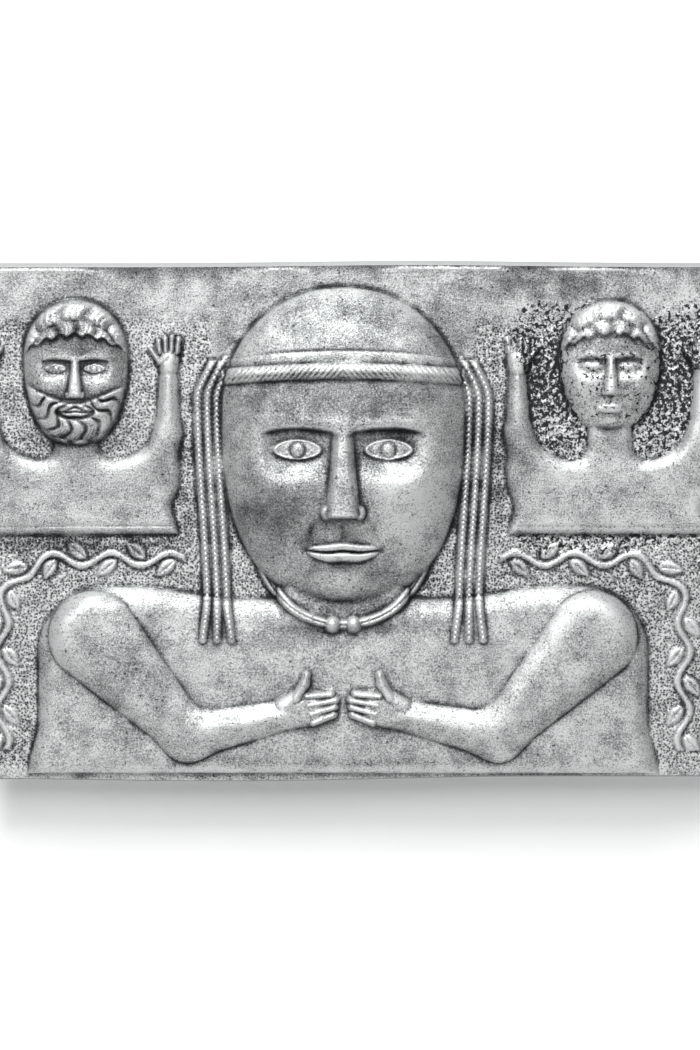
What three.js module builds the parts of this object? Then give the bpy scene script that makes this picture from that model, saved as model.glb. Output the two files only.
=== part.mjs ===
// Relief plaque of beaten silver sheet, hollow behind the relief.
//
// A large frontal bust with a cap, a twisted headband, plaits and a neck ring lays both hands on its breast.
// Two small busts raise their open hands in the upper corners, and a leaf scroll runs round the shoulders.
// Units are millimetres. x runs to the viewer's right, z runs up, and the relief stands out towards -Y.
// The origin is on the flat back of the top border, where the plaque is fastened to its board.

import * as THREE from "three";

// ---------------------------------------------------------------- driving dimensions

const PLATE = {
  height: 210,
  topHalf: 155, // half the width along the top edge
  bottomHalf: 148, // half the width along the bottom edge
  sheet: 2, // thickness of the sheet
  topBevel: 1.7, // how far the top edge is worn back, seen from the front
  edgeBevel: 0.6, // the same on the other three edges
  bevelLeaves: 0.7, // thickness left at the worn edge
};
const MOUNT_BELOW_TOP = 5; // from the top edge down to the origin

// Places below are (x, v) pairs, with v measured up from the plate's middle. Rises stand above the ground.
const TORSO = {
  half: 124,
  top: -26,
  bottom: -102.5,
  corner: 27,
  rise: 5,
  roll: 8, // width of the rolled edge
  neckDip: 5, // how far the shoulders sink beside the neck
  dipFrom: 42, // x where that dip starts to run out
  flare: 0.035, // share by which the body widens at its foot
  flareFrom: -80,
  belly: 1.4,
};
const NECK = { half: 27, top: -8, bottom: -46, rise: 6.4, roll: 7 };
const ARM = {
  shoulder: [101, -46],
  elbow: [63, -86.5],
  wrist: [24, -78],
  shoulderRadius: 18.5,
  elbowRadius: 9.6,
  wristRadius: 6.3,
  elbowFill: 6,
  rise: 4.4,
  roll: 9,
};
const HAND = {
  knuckles: [13.5, -75.5],
  palmRadius: 7,
  palmRoll: 4,
  fingers: 4,
  fingerLength: 11,
  fingerRadius: 1.8,
  fingerPitch: 3.7,
  fingerFan: 0.1, // radians between neighbouring fingers
  fingerLift: 0.5, // how far the fingers stand above the palm
  thumbRoot: [20, -73],
  thumbTip: [14.5, -62],
  thumbRadius: 2.2,
  thumbLift: 0.3,
  rise: 3.2,
};
const RING = {
  half: 35, // the hoop's half-width and its depth below the centre
  depth: 35,
  centre: -6,
  radius: 2.1,
  rise: 2.6,
  ball: 3.7,
  ballRise: 4,
  ballOut: 4.3,
};
const PLAIT = {
  strands: 3,
  pitch: 3.9,
  middle: 55,
  top: 66,
  bottom: -49,
  radius: 1.95,
  rise: 2.9,
  lean: 4, // how far the foot leans in to the neck
  bend: 7, // how far the top bends in to the headband
  flare: 2, // added to the pitch at the foot
  seat: 5.2, // highest surface that a plait is laid on
};
const BAND = { middle: 62, sag: 3, half: 51.5, sagHalf: 50, radius: 3.4, rise: 2.6 };
const BUST = {
  middle: 108,
  half: 38,
  top: 25,
  bottom: -5,
  rise: 3,
  roll: 4,
  throat: 9, // half the width of the neck
  shoulder: [32, 18],
  elbow: [37, 36],
  wrist: [37.5, 59],
  shoulderRadius: 8,
  elbowRadius: 5.2,
  wristRadius: 3.9,
  corner: 7,
  foot: 5, // how much the body widens down to its foot
  elbowFill: 4,
  armpitFill: 14,
  throatFill: 8,
  armRise: 1.6,
  handRise: 4.2,
  palm: 66,
  palmRadius: 4.5,
  palmRoll: 3,
  fingers: 4,
  finger: 6.5,
  fingerRadius: 1.2,
  fingerPitch: 2.3,
  tipPitch: 2.7,
  thumbRoot: [-3.5, 65],
  thumbTip: [-7, 70],
  thumbRootRadius: 1.5,
  thumbTipRadius: 1.2,
  thumbRoll: 1.4,
};
const SCROLL = {
  start: 64, // x where the stem comes out beside the plaits
  level: -15,
  turn: 24, // radius of the bend round the shoulder
  outer: 138.5,
  end: -93,
  wave: 2.6,
  period: 24,
  stem: 1.3, // radius of the stem
  leafFrom: 0.35, // where a leaf leaves the stem, as a share of half a period
  leafLength: 10.5,
  leafHalf: 3,
  reach: 10, // nothing of the scroll lies farther from its middle line
  rise: 1.5,
};

// The three heads share one canon, in head heights measured up from the chin.
const CANON = {
  eyes: 0.5,
  brow: 0.575,
  noseBase: 0.285,
  mouth: 0.19,
  widest: 0.59, // level of the greatest width
  half: 0.382,
  eyeOut: 0.14, // from the middle to each pupil
  eyeHalf: 0.072,
  eyeTall: 0.034,
  eyeRise: 0.022,
  socketFoot: 0.39,
  socketHalf: 0.27,
  socketDepth: 0.03,
  noseTop: 0.03, // half the nose's width at the brow
  noseHalf: 0.062,
  noseRise: 0.055,
  mouthHalf: 0.105,
  upperLip: { half: 0.017, rise: 0.018 }, // half its height, and its rise
  lowerLip: { half: 0.019, rise: 0.02 },
  chin: 0.065,
  chinRise: 0.014,
  fringe: 0.74, // level of the hair's edge over the nose
  beardTop: 0.24,
  hair: { rise: 0.022, lock: 0.02, middle: 0.58, waves: 6.5 },
  beard: { rise: 0.02, lock: 0.025, middle: 0.36, waves: 4 },
  depth: 0.134, // rise of the large head
};
const HEADS = [
  { x: 0, chin: -35.5, height: 131, rise: 17.5, hair: "cap" },
  { x: -BUST.middle, chin: 34.5, height: 56, rise: 8.5, hair: "locks", beard: true },
  { x: BUST.middle, chin: 36.5, height: 54, rise: 8.5, hair: "locks" },
];

// The surfaces are sampled on a grid of cells and thinned to the triangles that the shape needs.
const COLUMNS = 384;
const ROWS = 256;
const WIDE = COLUMNS + 1;
const CELL = 0.81; // side of a cell
const RIM_STEP = 32; // cells between the points that shape the plate's edges
const ROUNDNESS = 0.75; // 1 gives the relief soft feet, and less gives it steeper ones
const FRONT_TOLERANCE = 0.54;
const BACK_TOLERANCE = 1.25;
const BACK_SLACK = 0.5; // low carving that doesn't show on the back

// ---------------------------------------------------------------- small functions

const clamp = (t) => Math.min(1, Math.max(0, t));
const smooth = (t) => clamp(t) ** 2 * (3 - 2 * clamp(t));
const mix = (a, b, t) => a + (b - a) * t;
const rollOver = (t) => Math.sin((clamp(t) * Math.PI) / 2) ** ROUNDNESS;
const halfRound = (d, radius) => rollOver(1 - Math.abs(d) / radius);

function smoothMax(a, b, width) {
  const blend = Math.max(width - Math.abs(a - b), 0) / width;
  return Math.max(a, b) + (blend * blend * width) / 4;
}

// The higher of two rises, with the crease between them filled where both stand clear of the ground.
function blendRises(a, b, width) {
  const fill = Math.min(width, a, b);
  return fill > 0 ? smoothMax(a, b, fill) : Math.max(a, b);
}

// How far (x, v) lies inside a limb that tapers from one round end to the other; negative outside.
function insideLimb(x, v, [ax, av], [bx, bv], ra, rb) {
  const along = clamp(((x - ax) * (bx - ax) + (v - av) * (bv - av)) / ((bx - ax) ** 2 + (bv - av) ** 2));
  return mix(ra, rb, along) - Math.hypot(x - mix(ax, bx, along), v - mix(av, bv, along));
}

// How far (x, v) lies inside a box with round corners, centred at the origin; negative outside.
function insideBox(x, v, halfX, halfV, corner) {
  const qx = Math.abs(x) - halfX + corner;
  const qv = Math.abs(v) - halfV + corner;
  return corner - Math.hypot(Math.max(qx, 0), Math.max(qv, 0)) - Math.min(Math.max(qx, qv), 0);
}

// ---------------------------------------------------------------- the large figure's body

function torso(x, v) {
  const aside = smooth((Math.abs(x) - TORSO.dipFrom) / TORSO.dipFrom);
  const dip = TORSO.neckDip * (1 - aside) * smooth((v - TORSO.bottom) / 60);
  const flare = 1 + TORSO.flare * smooth((TORSO.flareFrom - v) / 22);
  const below = 2 * TORSO.corner; // keeps the box's lower corners off the plate
  const middle = (TORSO.top + TORSO.bottom - below) / 2;
  const halfV = (TORSO.top - TORSO.bottom + below) / 2;
  const box = insideBox(x / flare, v + dip - middle, TORSO.half, halfV, TORSO.corner);
  const inside = Math.min(box, v - TORSO.bottom);
  const belly = TORSO.belly * clamp(1 - (x / TORSO.half) ** 2) * smooth(inside / 25);
  return TORSO.rise * rollOver(inside / TORSO.roll) + belly;
}

function neck(x, v) {
  const inside = Math.min(NECK.half - Math.abs(x), NECK.top - v, v - NECK.bottom);
  return NECK.rise * rollOver(inside / NECK.roll);
}

function arms(x, v) {
  const side = Math.abs(x);
  const upper = insideLimb(side, v, ARM.shoulder, ARM.elbow, ARM.shoulderRadius, ARM.elbowRadius);
  const lower = insideLimb(side, v, ARM.elbow, ARM.wrist, ARM.elbowRadius, ARM.wristRadius);
  return ARM.rise * rollOver(smoothMax(upper, lower, ARM.elbowFill) / ARM.roll);
}

function hands(x, v) {
  const side = Math.abs(x);
  const [kx, kv] = HAND.knuckles;
  const heading = Math.atan2(kv - ARM.wrist[1], kx - ARM.wrist[0]);
  const palm = insideLimb(side, v, ARM.wrist, HAND.knuckles, ARM.wristRadius, HAND.palmRadius);
  let rise = HAND.rise * rollOver(palm / HAND.palmRoll);
  for (let i = 0; i < HAND.fingers; i++) {
    const place = i - (HAND.fingers - 1) / 2;
    const angle = heading + place * HAND.fingerFan;
    const offset = place * HAND.fingerPitch;
    const root = [kx + offset * Math.sin(heading), kv - offset * Math.cos(heading)];
    const length = HAND.fingerLength - Math.abs(place - 0.5);
    const tip = [root[0] + length * Math.cos(angle), root[1] + length * Math.sin(angle)];
    const off = HAND.fingerRadius - insideLimb(side, v, root, tip, HAND.fingerRadius, HAND.fingerRadius);
    rise = Math.max(rise, (HAND.rise + HAND.fingerLift) * halfRound(off, HAND.fingerRadius));
  }
  const thumb = insideLimb(side, v, HAND.thumbRoot, HAND.thumbTip, HAND.thumbRadius * 1.3, HAND.thumbRadius);
  return Math.max(rise, (HAND.rise + HAND.thumbLift) * rollOver(thumb / HAND.thumbRadius));
}

// The neck ring: an open hoop under the chin that ends in two balls.
function ring(x, v) {
  const level = v - RING.centre;
  const off = (Math.hypot(x / RING.half, level / RING.depth) - 1) * RING.depth;
  const hoop = level < 0 ? RING.rise * halfRound(off, RING.radius) : 0;
  const ball = Math.hypot(Math.abs(x) - RING.ballOut, level + RING.depth);
  return Math.max(hoop, RING.ballRise * halfRound(ball, RING.ball));
}

function plaits(x, v) {
  if (v > PLAIT.top || v < PLAIT.bottom) return 0;
  const lean = PLAIT.lean * smooth((50 - v) / 90) + PLAIT.bend * smooth((v - 50) / 20);
  const ends = rollOver((v - PLAIT.bottom) / 1.5) * rollOver((PLAIT.top - v) / 4);
  let rise = 0;
  for (let i = 0; i < PLAIT.strands; i++) {
    const place = i - (PLAIT.strands - 1) / 2;
    const middle = PLAIT.middle + place * (PLAIT.pitch + PLAIT.flare * smooth((-30 - v) / 20)) - lean;
    rise = Math.max(rise, PLAIT.rise * halfRound(Math.abs(x) - middle, PLAIT.radius) * ends);
  }
  return rise;
}

// ---------------------------------------------------------------- heads

// The egg of a head: 0 in the middle, 1 on its outline. u and w are in head heights, w from the chin.
function eggRadius(u, w, beard) {
  const level = w - CANON.widest;
  const half = level > 0 ? 1 - CANON.widest : CANON.widest + (beard ? 0.08 : 0);
  const power = level > 0 ? 2.1 : 2.3;
  return (Math.abs(u / CANON.half) ** power + Math.abs(level / half) ** power) ** (1 / power);
}

// Carving on the face, in head heights, to add to the egg.
function features(u, w) {
  const side = Math.abs(u);
  const browAt = CANON.brow - 1.1 * (side - CANON.eyeOut) ** 2;
  const underBrow = smooth((browAt - w) / 0.018) * smooth((w - CANON.socketFoot) / 0.11);
  const socket = underBrow * smooth((CANON.socketHalf - side) / 0.08);
  const eyeOff = Math.abs(side - CANON.eyeOut) / CANON.eyeHalf;
  const eye = 1 - eyeOff ** 1.6 - ((w - CANON.eyes) / CANON.eyeTall) ** 2;
  const bare = CANON.eyeRise * rollOver(eye / 0.4) - CANON.socketDepth * socket;

  const down = clamp((CANON.brow - w) / (CANON.brow - CANON.noseBase));
  const noseHalf = mix(CANON.noseTop, CANON.noseHalf, down);
  const noseRise = mix(0.008, CANON.noseRise, down) * smooth((w - CANON.noseBase) / 0.018);
  const noseEdge = rollOver((noseHalf - side) / 0.024) * smooth((0.63 - w) / 0.05);
  const withNose = mix(bare, noseRise, noseEdge);

  const lips = rollOver((1 - side / CANON.mouthHalf) * 1.6);
  const { upperLip: upper, lowerLip: lower } = CANON;
  const upperLip = upper.rise * lips * halfRound(w - CANON.mouth - upper.half, upper.half);
  const lowerLip = lower.rise * lips * halfRound(w - CANON.mouth + lower.half, lower.half);
  const chin = CANON.chinRise * smooth(1 - Math.hypot(u / 0.13, (w - CANON.chin) / 0.08));
  return withNose + upperLip + lowerLip + chin;
}

// Locks that fan out from a point: high along their backs and low between them.
function lockRise(u, down, { rise, lock, waves }) {
  return rise + lock * Math.sqrt(Math.abs(Math.cos(waves * Math.atan2(u, down))));
}

// Hair that is combed down to the brow from the crown, and a beard round the mouth.
function locks(u, w, beard) {
  const fringe = CANON.fringe - 0.9 * u * u;
  const hair = smooth((w - fringe) / 0.02) * lockRise(u, w - CANON.hair.middle, CANON.hair);
  if (!beard) return hair;
  const besideMouth = smooth((Math.hypot(u / 0.13, (w - CANON.mouth) / 0.06) - 1) / 0.3);
  const jaw = smooth((CANON.beardTop + 0.4 * Math.abs(u) - w) / 0.03) * besideMouth;
  return Math.max(hair, jaw * lockRise(u, CANON.beard.middle - w, CANON.beard));
}

function head(x, v, { x: middle, chin, height, rise, hair, beard }) {
  const u = (x - middle) / height;
  const w = (v - chin) / height;
  const egg = eggRadius(u, w, beard);
  if (egg >= 1) return 0;
  const shell = rise * (1 - egg ** 3.2) ** 0.62;
  const inner = smooth((1 - egg) / 0.12);
  const carved = features(u, w) + (hair === "locks" ? locks(u, w, beard) : 0);
  const deepening = rise / (CANON.depth * height); // small heads are cut deeper for their size
  return Math.max(0, shell + carved * height * deepening * inner);
}

function headband(x, v) {
  const off = v - BAND.middle + BAND.sag * (x / BAND.sagHalf) ** 2;
  const ends = rollOver((BAND.half - Math.abs(x)) / 3);
  return BAND.rise * halfRound(off, BAND.radius) * ends;
}

// ---------------------------------------------------------------- small busts and scroll

function bustBody(x, v) {
  const side = Math.abs(Math.abs(x) - BUST.middle);
  const half = BUST.half - 2 + BUST.foot * smooth((10 - v) / 14);
  const box = insideBox(side, v - BUST.top + 20, half, 20, BUST.corner);
  const upper = insideLimb(side, v, BUST.shoulder, BUST.elbow, BUST.shoulderRadius, BUST.elbowRadius);
  const lower = insideLimb(side, v, BUST.elbow, BUST.wrist, BUST.elbowRadius, BUST.wristRadius);
  const arm = smoothMax(upper, lower, BUST.elbowFill);
  const throat = Math.min(BUST.throat - side, BUST.top + 17 - v, v - BUST.bottom);
  const filled = smoothMax(smoothMax(box, arm, BUST.armpitFill), throat, BUST.throatFill);
  const body = Math.min(filled, v - BUST.bottom);
  const shape = BUST.rise * rollOver(body / BUST.roll) + BUST.armRise * rollOver(arm / (1.5 * BUST.roll));
  return Math.max(shape, bustHand(side - BUST.wrist[0], v));
}

// An open hand seen from its palm, with the thumb towards the head.
function bustHand(x, v) {
  const palm = insideLimb(x, v, [0, BUST.palm - 4], [0, BUST.palm], BUST.wristRadius, BUST.palmRadius);
  let rise = BUST.handRise * rollOver(palm / BUST.palmRoll);
  for (let i = 0; i < BUST.fingers; i++) {
    const place = i - (BUST.fingers - 1) / 2;
    const root = [place * BUST.fingerPitch, BUST.palm + 3];
    const tip = [place * BUST.tipPitch, BUST.palm + 3 + BUST.finger - Math.abs(place - 0.3)];
    const off = BUST.fingerRadius - insideLimb(x, v, root, tip, BUST.fingerRadius, BUST.fingerRadius);
    rise = Math.max(rise, BUST.handRise * halfRound(off, BUST.fingerRadius));
  }
  const thumb = insideLimb(x, v, BUST.thumbRoot, BUST.thumbTip, BUST.thumbRootRadius, BUST.thumbTipRadius);
  return Math.max(rise, BUST.handRise * rollOver(thumb / BUST.thumbRoll));
}

// Where (x, v) lies beside the scroll's middle line: out away from the shoulder, along from its start.
function besideScroll(x, v) {
  const side = Math.abs(x);
  const bendX = SCROLL.outer - SCROLL.turn;
  const bendV = SCROLL.level - SCROLL.turn;
  if (side < bendX) return { out: v - SCROLL.level, along: side - SCROLL.start };
  const straight = bendX - SCROLL.start;
  const bent = straight + (SCROLL.turn * Math.PI) / 2;
  if (v < bendV) return { out: side - SCROLL.outer, along: bent + bendV - v };
  const angle = Math.atan2(side - bendX, v - bendV);
  return { out: Math.hypot(side - bendX, v - bendV) - SCROLL.turn, along: straight + SCROLL.turn * angle };
}

// A waving stem round the shoulder, with a leaf in the hollow of each wave.
function scroll(x, v) {
  const { out, along } = besideScroll(x, v);
  const straight = SCROLL.outer - SCROLL.turn - SCROLL.start;
  const length = straight + (SCROLL.turn * Math.PI) / 2 + SCROLL.level - SCROLL.turn - SCROLL.end;
  if (along < 0 || along > length || Math.abs(out) > SCROLL.reach) return 0;
  const phase = (2 * Math.PI * along) / SCROLL.period;
  const steepness = (SCROLL.wave * 6.28) / SCROLL.period; // slope where the wave crosses its middle
  const stem = Math.abs(out - SCROLL.wave * Math.sin(phase)) / Math.hypot(1, steepness);
  const half = SCROLL.period / 2;
  const place = Math.floor(along / half);
  const sign = place % 2 ? 1 : -1;
  const root = [(place + SCROLL.leafFrom) * half, 0.4 * sign];
  const tip = [root[0] + SCROLL.leafLength * 0.75, root[1] + SCROLL.leafLength * 0.62 * sign];
  const nearest = leaf(along, out, root, tip);
  const before = leaf(along, out, [root[0] - half, -root[1]], [tip[0] - half, -tip[1]]);
  return SCROLL.rise * Math.max(rollOver(1.6 * (1 - stem / SCROLL.stem)), nearest, before);
}

// A pointed oval from root to tip, 0 outside and 1 on its back.
function leaf(along, out, [ra, ro], [ta, to]) {
  const length = Math.hypot(ta - ra, to - ro);
  const t = ((along - ra) * (ta - ra) + (out - ro) * (to - ro)) / length ** 2;
  if (t <= 0 || t >= 1) return 0;
  const off = Math.abs((along - ra) * (to - ro) - (out - ro) * (ta - ra)) / length;
  const half = SCROLL.leafHalf * Math.sin(Math.PI * t ** 0.8);
  return rollOver(1.8 * (1 - off / half));
}

// ---------------------------------------------------------------- the whole relief

// Height of the front surface above the ground.
function reliefAt(x, v) {
  const bare = blendRises(torso(x, v), neck(x, v), 2) + Math.max(arms(x, v), hands(x, v));
  const dressed = bare + ring(x, v);
  const figures = Math.max(dressed, bustBody(x, v), scroll(x, v));
  const crowned = HEADS.reduce((rise, one) => blendRises(rise, head(x, v, one), 0.6), figures);
  return Math.max(crowned + headband(x, v), plaits(x, v) + Math.min(figures, PLAIT.seat));
}

// ---------------------------------------------------------------- the plate's outline

// How far the long edges stray from straight, from s = 0 at the left to 1 at the right.
const topWear = (s) => 0.9 * Math.exp(-(((s - 0.6) / 0.2) ** 2));
const bottomWear = (s) => 1.1 * smooth(s / 0.9) - 1.3 * Math.sin(Math.PI * clamp(s / 0.75)) ** 2;

// A place on the plate from s across and t up, both 0 to 1, drawn in from the edges by the bevels.
function placeAt(s, t, inset) {
  const v = mix(-PLATE.height / 2 + inset * PLATE.edgeBevel, PLATE.height / 2 - inset * PLATE.topBevel, t);
  const half = mix(PLATE.bottomHalf, PLATE.topHalf, v / PLATE.height + 0.5) - inset * PLATE.edgeBevel;
  const wear = mix(bottomWear(s), topWear(s), t);
  return [mix(-half, half, s), v + wear];
}

// Samples fn(x, v) at every point of the plate's grid.
function sampleGrid(fn, inset) {
  const values = new Float64Array(WIDE * (ROWS + 1));
  for (let row = 0; row <= ROWS; row++)
    for (let column = 0; column <= COLUMNS; column++)
      values[row * WIDE + column] = fn(...placeAt(column / COLUMNS, row / ROWS, inset));
  return values;
}

// Depth of the back surface: the front drawn in by the sheet's thickness, and flat behind low carving.
function hollowBehind(front) {
  const cell = [(PLATE.topHalf + PLATE.bottomHalf) / COLUMNS, PLATE.height / ROWS];
  const reach = [Math.floor(PLATE.sheet / cell[0]), Math.floor(PLATE.sheet / cell[1])];
  const depth = new Float64Array(front.length);
  for (let row = reach[1]; row <= ROWS - reach[1]; row++)
    for (let column = reach[0]; column <= COLUMNS - reach[0]; column++) {
      let lowest = Infinity;
      for (let dr = -reach[1]; dr <= reach[1]; dr++)
        for (let dc = -reach[0]; dc <= reach[0]; dc++) {
          const away = Math.hypot(dc * cell[0], dr * cell[1]);
          if (away > PLATE.sheet) continue;
          const cap = PLATE.sheet - Math.sqrt(PLATE.sheet ** 2 - away ** 2);
          lowest = Math.min(lowest, front[(row + dr) * WIDE + column + dc] + cap);
        }
      depth[row * WIDE + column] = Math.max(0, lowest - BACK_SLACK);
    }
  return depth;
}

// ---------------------------------------------------------------- thinning a grid to triangles

const xOf = (point) => point % WIDE;
const yOf = (point) => Math.floor(point / WIDE);

// Twice the area of triangle abc, positive when it turns counter-clockwise.
function turn(a, b, c) {
  return (xOf(b) - xOf(a)) * (yOf(c) - yOf(a)) - (yOf(b) - yOf(a)) * (xOf(c) - xOf(a));
}

// True when the circle round counter-clockwise triangle abc holds point p.
function circleHolds([a, b, c], p) {
  const [ax, ay, bx, by, cx, cy] = [a, b, c].flatMap((q) => [xOf(q) - xOf(p), yOf(q) - yOf(p)]);
  const [a2, b2, c2] = [ax * ax + ay * ay, bx * bx + by * by, cx * cx + cy * cy];
  return ax * (by * c2 - b2 * cy) - ay * (bx * c2 - b2 * cx) + a2 * (bx * cy - by * cx) > 0;
}

const sidesOf = (a, b, c) => [[a, b], [b, c], [c, a]];

// How much longer a height error is than the surface's distance from the mesh, on a slope.
function steepnessAt(values, point) {
  const [left, right] = [Math.max(xOf(point) - 1, 0), Math.min(xOf(point) + 1, COLUMNS)];
  const [low, high] = [Math.max(yOf(point) - 1, 0), Math.min(yOf(point) + 1, ROWS)];
  const across = (values[yOf(point) * WIDE + right] - values[yOf(point) * WIDE + left]) / (right - left);
  const up = (values[high * WIDE + xOf(point)] - values[low * WIDE + xOf(point)]) / (high - low);
  return Math.hypot(1, across / CELL, up / CELL);
}

// A Delaunay mesh over grid points, grown one point at a time where it misses the surface most.
class GridMesh {
  constructor(values) {
    this.values = values;
    this.steepness = values.map((_, point) => steepnessAt(values, point));
    this.sides = new Map(); // from each directed side to the triangle on its left
    this.triangles = new Set();
    const [a, b, c, d] = [0, COLUMNS, ROWS * WIDE + COLUMNS, ROWS * WIDE];
    this.add(a, b, c);
    this.add(a, c, d);
  }

  sideKey(a, b) {
    return a * this.values.length + b;
  }

  add(a, b, c) {
    const triangle = { corners: [a, b, c], ...this.worstPoint(a, b, c) };
    this.triangles.add(triangle);
    for (const [p, q] of sidesOf(a, b, c)) this.sides.set(this.sideKey(p, q), triangle);
  }

  // The grid point inside abc that the flat triangle misses by most.
  worstPoint(a, b, c) {
    const area = turn(a, b, c);
    const [ha, hb, hc] = [a, b, c].map((p) => this.values[p] / area);
    let [worst, error] = [-1, 0];
    const [xs, ys] = [[a, b, c].map(xOf), [a, b, c].map(yOf)];
    for (let y = Math.min(...ys); y <= Math.max(...ys); y++)
      for (let x = Math.min(...xs); x <= Math.max(...xs); x++) {
        const p = y * WIDE + x;
        const [wa, wb, wc] = [turn(p, b, c), turn(a, p, c), turn(a, b, p)];
        if (wa < 0 || wb < 0 || wc < 0) continue;
        const miss = Math.abs(this.values[p] - wa * ha - wb * hb - wc * hc) / this.steepness[p];
        if (miss > error) [worst, error] = [p, miss];
      }
    return { worst, error };
  }

  // Adds point p of a triangle: clears every triangle whose circle holds p and joins p to the gap's rim.
  insert(p, start) {
    const cleared = new Set([start]);
    const rim = [];
    for (const triangle of cleared) {
      for (const [q, r] of sidesOf(...triangle.corners)) {
        const beyond = this.sides.get(this.sideKey(r, q));
        if (beyond && (cleared.has(beyond) || circleHolds(beyond.corners, p))) cleared.add(beyond);
        else rim.push([q, r]);
      }
    }
    for (const triangle of cleared) {
      this.triangles.delete(triangle);
      for (const [q, r] of sidesOf(...triangle.corners)) this.sides.delete(this.sideKey(q, r));
    }
    for (const [q, r] of rim) if (turn(q, r, p) > 0) this.add(q, r, p);
  }

  // Adds points along the plate's edges, so that the mesh follows their gentle wear.
  followEdges() {
    for (let x = RIM_STEP; x < COLUMNS; x += RIM_STEP) {
      this.insertAt(x);
      this.insertAt(ROWS * WIDE + x);
    }
    for (let y = RIM_STEP; y < ROWS; y += RIM_STEP) {
      this.insertAt(y * WIDE);
      this.insertAt(y * WIDE + COLUMNS);
    }
    return this;
  }

  insertAt(p) {
    const holds = ({ corners: [a, b, c] }) => turn(a, b, p) >= 0 && turn(b, c, p) >= 0 && turn(c, a, p) >= 0;
    this.insert(p, [...this.triangles].find(holds));
  }

  // Halves the allowed error until it is down to the tolerance, so that large shapes come first.
  refine(tolerance) {
    for (let allowed = 16 * tolerance; allowed >= tolerance; allowed /= 2)
      for (const triangle of this.triangles) // also visits the triangles added on the way
        if (triangle.error > allowed) this.insert(triangle.worst, triangle);
    return [...this.triangles].map(({ corners }) => corners);
  }
}

const thin = (values, tolerance) => new GridMesh(values).followEdges().refine(tolerance);

// ---------------------------------------------------------------- the closed solid

// Grid points of the rim that the triangles use, counter-clockwise as [place round the rim, point].
function rimOf(triangles) {
  const found = new Map();
  for (const point of triangles.flat()) {
    const [x, y] = [xOf(point), yOf(point)];
    if (y === 0) found.set(x, point);
    else if (x === COLUMNS) found.set(COLUMNS + y, point);
    else if (y === ROWS) found.set(2 * COLUMNS + ROWS - x, point);
    else if (x === 0) found.set(2 * COLUMNS + 2 * ROWS - y, point);
  }
  return [...found].sort((a, b) => a[0] - b[0]);
}

class Mesher {
  positions = [];
  index = [];

  // Adds a grid's points with y from depthAt(point), and returns their numbers by grid point.
  addPoints(points, inset, depthAt) {
    const numbers = new Map();
    for (const point of new Set(points)) {
      const [x, v] = placeAt(xOf(point) / COLUMNS, yOf(point) / ROWS, inset);
      numbers.set(point, this.positions.length / 3);
      this.positions.push(x, depthAt(point), v);
    }
    return numbers;
  }

  // Joins two rims of the same outline, each a list of [place, number], by a band of triangles.
  addBand(front, back) {
    const lap = 2 * (COLUMNS + ROWS);
    let [i, j] = [0, 0];
    while (i < front.length || j < back.length) {
      const a = front[i % front.length];
      const b = back[j % back.length];
      const nextA = front[(i + 1) % front.length];
      const nextB = back[(j + 1) % back.length];
      const placeA = nextA[0] + (i + 1 >= front.length ? lap : 0);
      const placeB = nextB[0] + (j + 1 >= back.length ? lap : 0);
      if (j >= back.length || (i < front.length && placeA <= placeB)) {
        this.index.push(a[1], b[1], nextA[1]);
        i++;
      } else {
        this.index.push(a[1], b[1], nextB[1]);
        j++;
      }
    }
  }

  geometry() {
    const made = new THREE.BufferGeometry();
    made.setAttribute("position", new THREE.Float32BufferAttribute(this.positions, 3));
    made.setIndex(this.index);
    made.computeVertexNormals();
    return made;
  }
}

function sheetGeometry() {
  const front = sampleGrid(reliefAt, 1);
  const back = hollowBehind(sampleGrid(reliefAt, 0));
  const frontTriangles = thin(front, FRONT_TOLERANCE);
  const backTriangles = thin(back, BACK_TOLERANCE);
  const mesher = new Mesher();

  const frontPoints = mesher.addPoints(frontTriangles.flat(), 1, (p) => -PLATE.sheet - front[p]);
  for (const corners of frontTriangles) mesher.index.push(...corners.map((p) => frontPoints.get(p)));
  const backPoints = mesher.addPoints(backTriangles.flat(), 0, (p) => -back[p]);
  for (const [a, b, c] of backTriangles) mesher.index.push(...[a, c, b].map((p) => backPoints.get(p)));

  const frontRim = rimOf(frontTriangles);
  const edgePoints = mesher.addPoints(frontRim.map(([, p]) => p), 0, () => -PLATE.bevelLeaves);
  const numbered = (rim, numbers) => rim.map(([place, point]) => [place, numbers.get(point)]);
  mesher.addBand(numbered(frontRim, frontPoints), numbered(frontRim, edgePoints));
  mesher.addBand(numbered(frontRim, edgePoints), numbered(rimOf(backTriangles), backPoints));
  return mesher.geometry();
}

// ---------------------------------------------------------------- the part

const silver = new THREE.MeshStandardMaterial({ color: 0xb9bebd, roughness: 0.42, metalness: 1 });
const plaque = new THREE.Mesh(sheetGeometry(), silver);
plaque.name = "plaque";
plaque.position.z = MOUNT_BELOW_TOP - PLATE.height / 2;

const part = new THREE.Group();
part.add(plaque);
export default part;
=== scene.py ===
"""The looks of a relief plaque of beaten, tarnished silver sheet.

The plaque is drawn in millimetres on its own face: x runs to the viewer's right and v runs up, both from
the plate's middle, and every rise stands above the ground. The relief is worked out on a fine grid, which
is then thinned to the triangles that the shape and its tarnish need.
"""

import math
from types import SimpleNamespace as Sizes

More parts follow.
